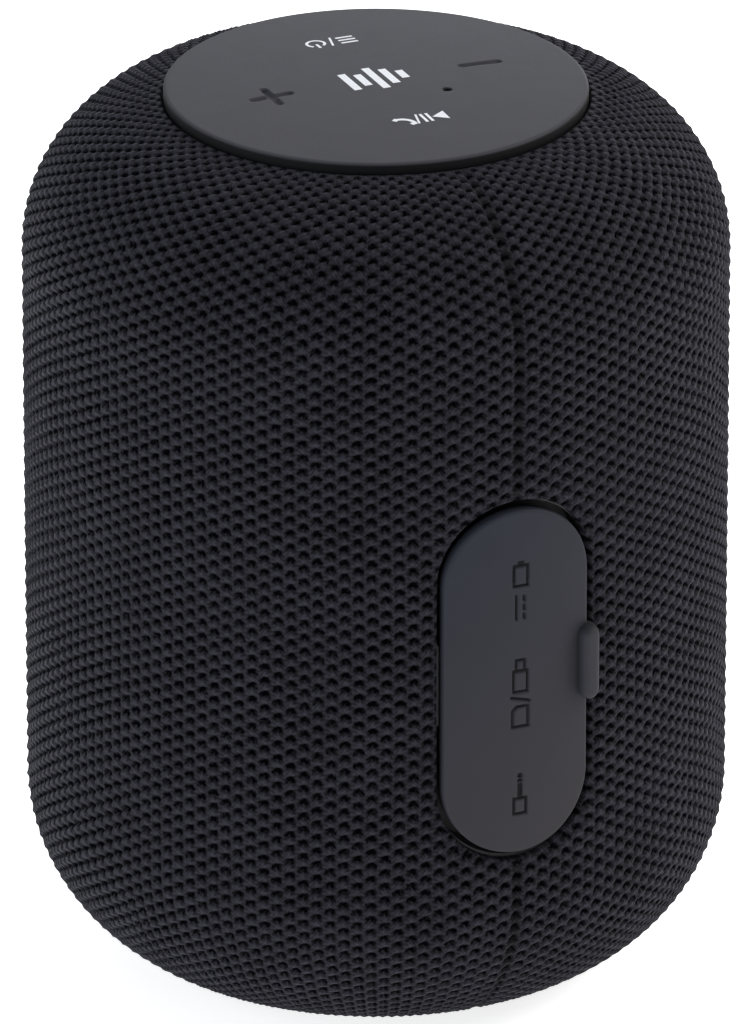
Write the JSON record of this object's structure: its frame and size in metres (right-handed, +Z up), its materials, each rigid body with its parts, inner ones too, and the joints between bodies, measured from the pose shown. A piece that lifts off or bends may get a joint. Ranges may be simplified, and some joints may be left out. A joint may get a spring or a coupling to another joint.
{
  "type": "portable bluetooth speaker",
  "caption": "Fabric-wrapped cylindrical battery speaker with a domed silicone keypad on top and a hinged silicone cover over its ports.",
  "frame": {"origin": "centre of the rubber foot's underside", "axes": "+Z up, -Y towards the port cover, +Y towards the side the driver faces"},
  "size_m": [0.082, 0.0829, 0.1085],
  "materials": {
    "sleeve_fabric": "knitted mesh",
    "keypad_silicone": "matte silicone",
    "cover_silicone": "matte silicone",
    "foot_rubber": "matte",
    "casing": "fine moulded texture",
    "switch_plastic": "satin",
    "connector_plastic": "satin",
    "board_laminate": "solder mask",
    "socket_metal": "nickel plated",
    "screw_steel": "zinc plated",
    "driver_steel": "black passivated",
    "magnet": "sintered",
    "cone_pulp": "pressed pulp",
    "coil_copper": "enamelled wire",
    "cell_wrap": "shrink film"
  },
  "bodies": {
    "casing": {"amplifier_chip": "switch_plastic", "audio_socket": "switch_plastic", "base_plate": "casing", "base_screws": "screw_steel", "battery_cell": "cell_wrap", "battery_cradle": "casing", "board_screws": "screw_steel", "capacitors": "socket_metal", "card_socket": "socket_metal", "driver_baffle": "casing", "driver_basket": "driver_steel", "driver_gasket": "foot_rubber", "driver_magnet": "magnet", "driver_screws": "screw_steel", "driver_spider": "cone_pulp", "driver_surround": "foot_rubber", "driver_top_plate": "driver_steel", "driver_yoke": "driver_steel", "fabric_sleeve": "sleeve_fabric", "key_board": "board_laminate", "key_board_screws": "screw_steel", "keypad_skin": "keypad_silicone", "lead_connectors": "connector_plastic", "main_board": "board_laminate", "main_shell": "casing", "microphone": "socket_metal", "microphone_boot": "foot_rubber", "port_bezel": "casing", "port_tray": "casing", "power_socket": "socket_metal", "power_socket_tongue": "switch_plastic", "radio_chip": "switch_plastic", "rubber_foot": "foot_rubber", "stick_socket": "socket_metal", "stick_socket_tongue": "connector_plastic", "strap_anchor": "cover_silicone", "switch_bodies": "switch_plastic", "top_shell": "casing", "top_shell_screws": "screw_steel"},
    "cover": {"port_cover": "cover_silicone", "cover_strap": "cover_silicone"},
    "cone": {"driver_cone": "cone_pulp", "driver_dust_cap": "cone_pulp", "voice_coil": "coil_copper"},
    "volume_up": {"volume_up_key": "keypad_silicone", "volume_up_switch_button": "switch_plastic"},
    "volume_down": {"volume_down_key": "keypad_silicone", "volume_down_switch_button": "switch_plastic"},
    "play_call": {"play_call_key": "keypad_silicone", "play_call_switch_button": "switch_plastic"},
    "power_mode": {"power_mode_key": "keypad_silicone", "power_mode_switch_button": "switch_plastic"}
  },
  "joints": [
    {"name": "cover_hinge", "type": "hinge", "parent": "casing", "child": "cover", "pos_m": [-0.00935, -0.03992, 0.049], "axis": [0, 0, -1], "range_deg": [0, 110], "stiffness_Nm_per_rad": 0.002, "deforming": ["cover_strap"]},
    {"name": "cone_slide", "type": "slide", "parent": "casing", "child": "cone", "axis": [0, 1, 0], "range_m": [-0.0015, 0.0015], "stiffness_N_per_m": 1200, "deforming": ["driver_surround", "driver_spider"]},
    {"name": "volume_up_press", "type": "slide", "parent": "casing", "child": "volume_up", "axis": [0, 0, -1], "range_m": [0, 0.0003], "stiffness_N_per_m": 2000},
    {"name": "volume_down_press", "type": "slide", "parent": "casing", "child": "volume_down", "axis": [0, 0, -1], "range_m": [0, 0.0003], "stiffness_N_per_m": 2000},
    {"name": "play_call_press", "type": "slide", "parent": "casing", "child": "play_call", "axis": [0, 0, -1], "range_m": [0, 0.0003], "stiffness_N_per_m": 2000},
    {"name": "power_mode_press", "type": "slide", "parent": "casing", "child": "power_mode", "axis": [0, 0, -1], "range_m": [0, 0.0003], "stiffness_N_per_m": 2000}
  ]
}
